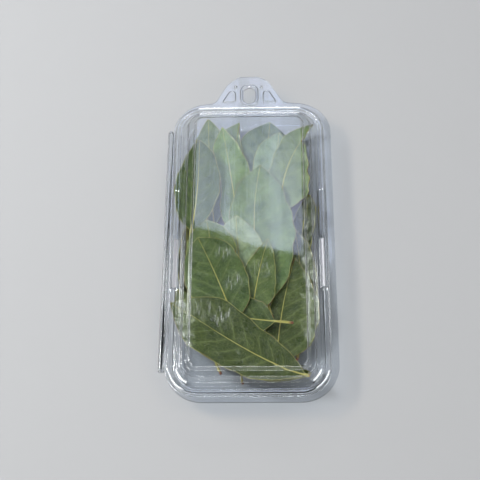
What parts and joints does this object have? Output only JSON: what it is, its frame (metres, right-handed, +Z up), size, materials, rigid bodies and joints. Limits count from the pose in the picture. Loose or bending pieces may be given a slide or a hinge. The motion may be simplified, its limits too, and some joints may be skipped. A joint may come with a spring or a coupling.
{
  "type": "bay leaf clamshell pack",
  "caption": "Clear hinged clamshell hang pack with a stepped lid, a slotted hang tab and a pile of loose fresh bay leaves inside.",
  "frame": {"origin": "middle of the tray's flat underside, under the middle of the body without the hang tab", "axes": "+Z up through the lid, +Y along the pack towards the hang tab, +X towards the opening side, away from the hinge"},
  "size_m": [0.1045, 0.2261, 0.025],
  "materials": {
    "clear_sheet": "clear thermoformed polyester sheet, high gloss",
    "leaf_upper": "satin mid green leaf blade with a yellow midrib and pale margin",
    "leaf_lower": "paler green leaf blade, soft sheen",
    "leaf_bright": "fresh bright green leaf blade, satin",
    "leaf_dark": "dark green leaf blade, satin"
  },
  "bodies": {
    "tray": {"tray_shell": "clear_sheet", "leaf_buried": "leaf_lower", "leaf_top_middle": "leaf_lower", "leaf_top_right": "leaf_lower", "leaf_front_right": "leaf_lower", "leaf_top_left": "leaf_lower", "leaf_right_dark": "leaf_dark", "leaf_upper_middle": "leaf_bright", "leaf_right_inner": "leaf_lower", "leaf_right_edge": "leaf_upper", "leaf_right_upper": "leaf_upper", "leaf_right_lower": "leaf_upper", "leaf_centre_large": "leaf_upper", "leaf_front_left": "leaf_upper", "leaf_left_dark": "leaf_dark", "leaf_centre_pale": "leaf_upper", "leaf_left_upper": "leaf_upper", "leaf_centre_lower": "leaf_upper", "leaf_left_middle": "leaf_upper", "leaf_long_stalk": "leaf_upper", "leaf_round_left": "leaf_upper", "leaf_front_large": "leaf_upper"},
    "lid": {"lid_shell": "clear_sheet"}
  },
  "joints": [
    {"name": "lid_hinge", "type": "hinge", "parent": "tray", "child": "lid", "pos_m": [-0.05245, 0, 0.01315], "axis": [0, -1, 0], "range_deg": [0, 180]}
  ]
}
